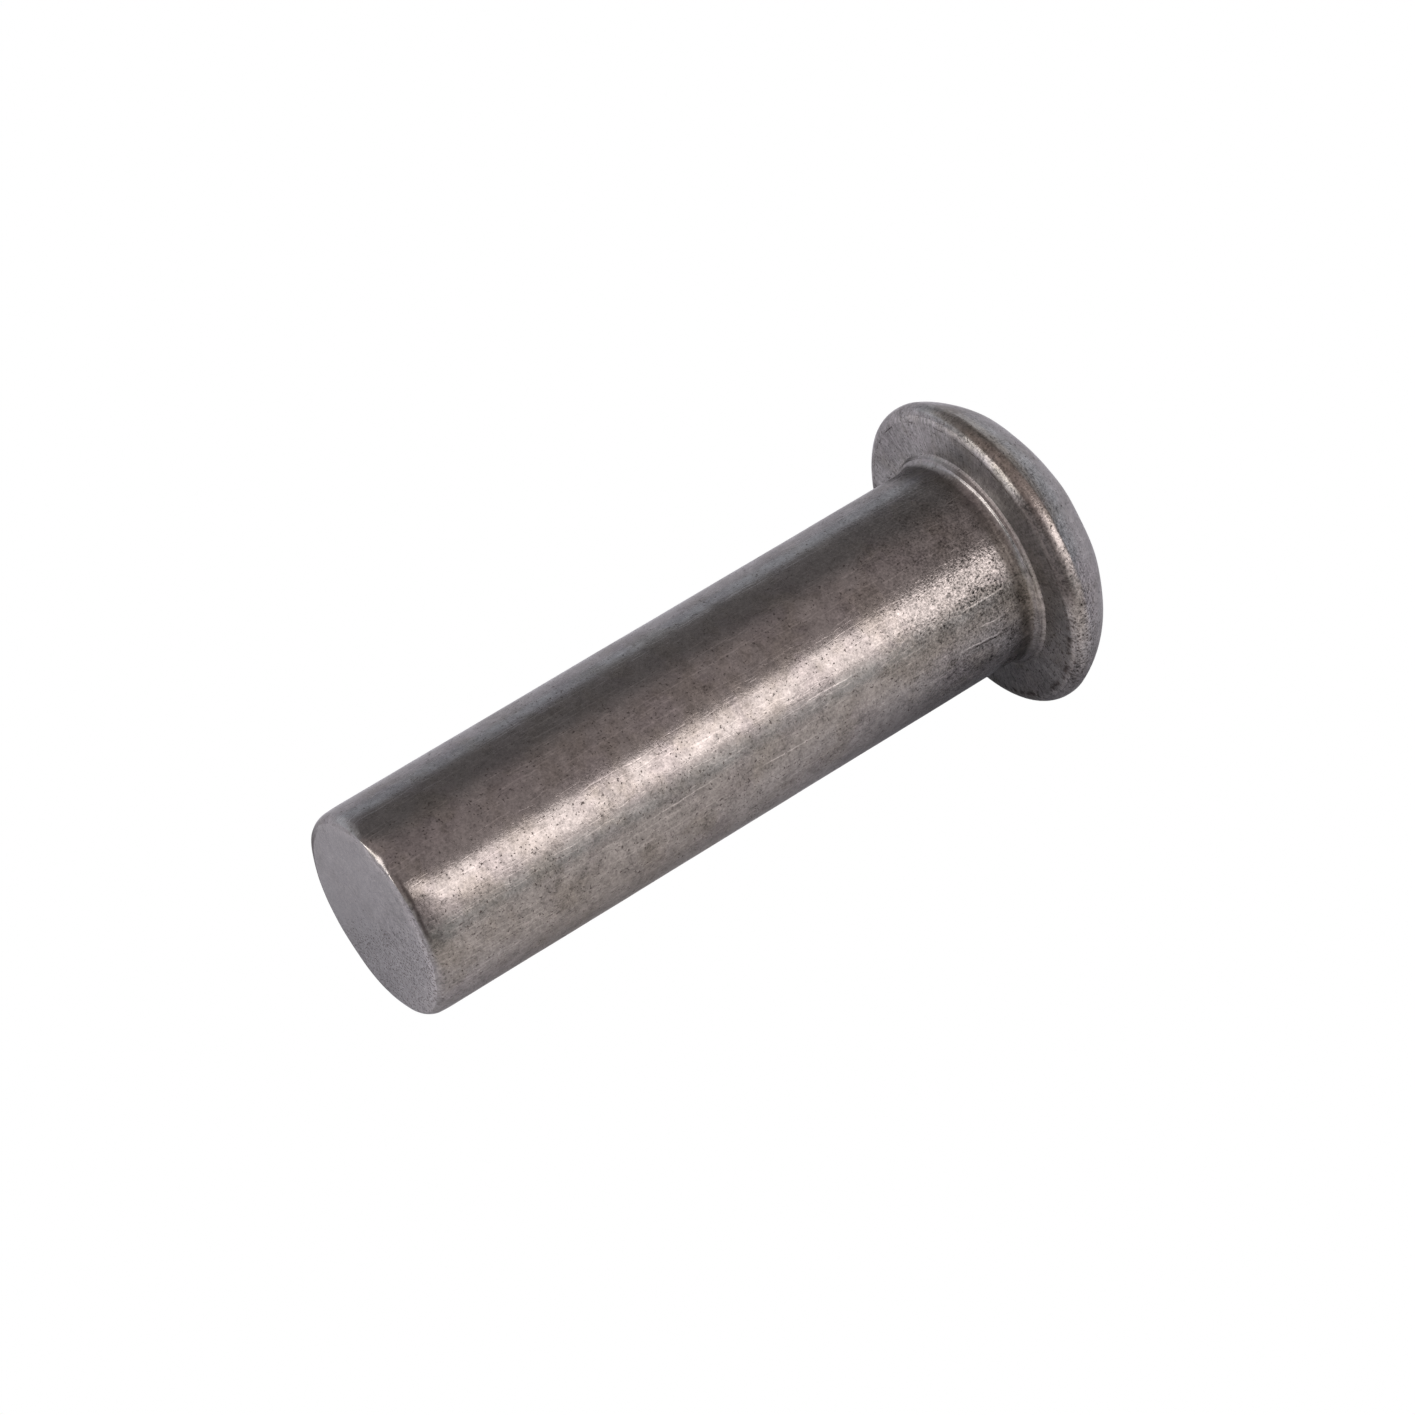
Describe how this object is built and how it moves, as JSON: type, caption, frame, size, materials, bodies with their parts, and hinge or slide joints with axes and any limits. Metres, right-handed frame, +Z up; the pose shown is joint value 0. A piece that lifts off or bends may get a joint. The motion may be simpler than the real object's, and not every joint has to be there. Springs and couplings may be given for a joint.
{
  "type": "rivet",
  "caption": "Solid round-head rivet in bare forged steel: straight cylindrical shank with a rounded tail edge, low domed head with a rolled rim, and a small die ring under the head.",
  "frame": {"origin": "centre of the flat tail face, which the rivet stands on", "axes": "+Z up the shank axis from the tail to the head; X and Y are any two directions across the shank"},
  "size_m": [0.0184, 0.0184, 0.0451],
  "materials": {
    "forged_steel": "bare cold-forged steel, satin, with fine dark pits, light brown tint and lengthwise scratches"
  },
  "bodies": {
    "root": {"rivet": "forged_steel"}
  },
  "joints": []
}
